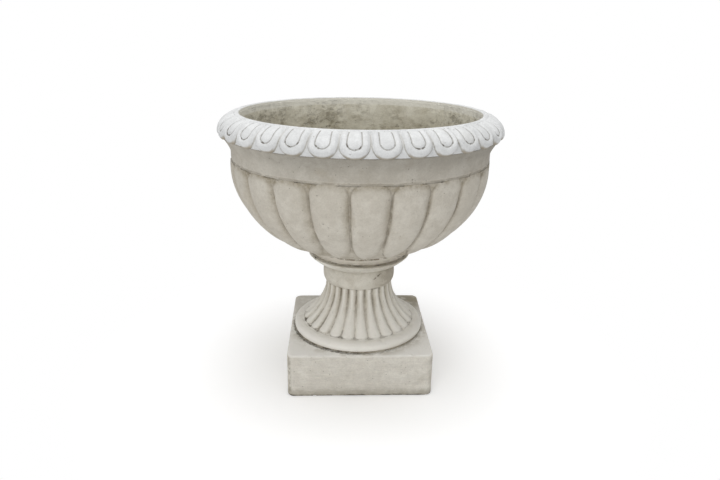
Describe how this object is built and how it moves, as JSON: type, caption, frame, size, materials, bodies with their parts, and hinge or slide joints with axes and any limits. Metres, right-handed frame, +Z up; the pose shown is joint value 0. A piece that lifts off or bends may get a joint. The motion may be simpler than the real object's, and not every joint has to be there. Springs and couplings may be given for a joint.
{
  "type": "garden urn",
  "caption": "Footed garden urn in cast stone: gadrooned bowl with a tongue rim on a reeded pedestal and square plinth, tied by a drain tube.",
  "frame": {"origin": "middle of the plinth's underside, where the urn stands on the ground", "axes": "+Z up along the urn's axis, X and Y square to the plinth's sides, the front is -Y"},
  "size_m": [0.4493, 0.4492, 0.446],
  "materials": {
    "bowl_stone": "weathered cast stone, matt, warm beige grey with a whitened rim",
    "pedestal_stone": "weathered cast stone, matt, with dirt in the reeds",
    "plinth_stone": "weathered cast stone, matt, with fine level tool marks",
    "mortar": "dirty bedding mortar, matt and ragged",
    "zinc_steel": "galvanised steel, dulled",
    "stainless_pin": "plain stainless rod",
    "rubber_seal": "black rubber"
  },
  "bodies": {
    "root": {"plinth": "plinth_stone", "foot_mortar_bed": "mortar", "pedestal": "pedestal_stone", "bowl_mortar_bed": "mortar", "bowl": "bowl_stone", "tube_seal": "rubber_seal", "top_washer": "zinc_steel", "top_nut": "zinc_steel", "bottom_washer": "zinc_steel", "bottom_nut": "zinc_steel", "tie_tube": "zinc_steel", "lower_dowel_left": "stainless_pin", "lower_dowel_right": "stainless_pin", "upper_dowel_left": "stainless_pin", "upper_dowel_right": "stainless_pin"}
  },
  "joints": []
}
